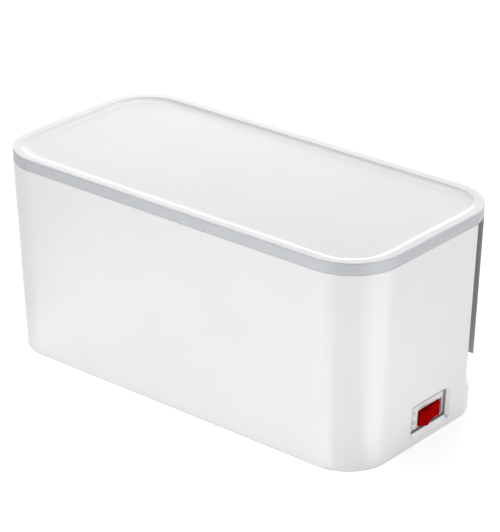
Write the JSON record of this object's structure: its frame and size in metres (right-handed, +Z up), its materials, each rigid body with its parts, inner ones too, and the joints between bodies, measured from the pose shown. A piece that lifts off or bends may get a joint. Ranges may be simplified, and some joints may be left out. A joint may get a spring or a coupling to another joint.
{
  "type": "cord organizer box",
  "caption": "Cord-organizer box with a built-in power strip: drafted shell, lift-off lid with recessed top and side band, end rocker switch, open cord side behind a rear flap.",
  "frame": {"origin": "on the floor, under the middle of the box", "axes": "+X along the length towards the end with the rocker switch, +Y towards the open cord side, +Z up"},
  "size_m": [0.3, 0.1456, 0.1401],
  "materials": {
    "shell_white": "satin moulded plastic",
    "lid_white": "satin moulded plastic",
    "deck_white": "matt moulded plastic",
    "outlet_white": "satin moulded plastic",
    "bezel_white": "satin moulded plastic",
    "band_silver": "fine brushed silver-grey",
    "flap_grey": "matt moulded plastic",
    "rocker_red": "gloss, slightly translucent",
    "brass": "bare stamped brass",
    "steel_zinc": "zinc plated",
    "rubber_grey": "matt",
    "gasket_grey": "matt",
    "wire_brown": "soft insulation",
    "wire_blue": "soft insulation",
    "wire_green_yellow": "soft insulation, striped"
  },
  "bodies": {
    "base": {"housing": "shell_white", "bottom_cover": "shell_white", "socket_deck": "deck_white", "base_screws": "steel_zinc", "cord_gland": "rubber_grey", "busbar_live": "brass", "busbar_neutral": "brass", "busbar_earth": "brass", "switch_frame": "bezel_white", "switch_gasket": "gasket_grey", "switch_terminals": "brass", "wire_live": "wire_brown", "wire_switched": "wire_brown", "wire_neutral": "wire_blue", "wire_earth": "wire_green_yellow", "foot_1": "rubber_grey", "foot_2": "rubber_grey", "foot_3": "rubber_grey", "foot_4": "rubber_grey", "outlet_1": "outlet_white", "outlet_2": "outlet_white", "outlet_3": "outlet_white", "outlet_4": "outlet_white", "outlet_5": "outlet_white"},
    "rocker": {"switch_rocker": "rocker_red"},
    "lid": {"lid_cover": "lid_white", "lid_band": "band_silver", "rear_flap": "flap_grey", "flap_screws": "steel_zinc"}
  },
  "joints": [
    {"name": "lid_lift", "type": "slide", "parent": "base", "child": "lid", "axis": [0, 0, 1], "range_m": [0, 0.12]},
    {"name": "switch_rock", "type": "hinge", "parent": "base", "child": "rocker", "pos_m": [0.14071, 0.0096, 0.01558], "axis": [-0.0384, 0, -0.9993], "range_deg": [0, 21]}
  ]
}
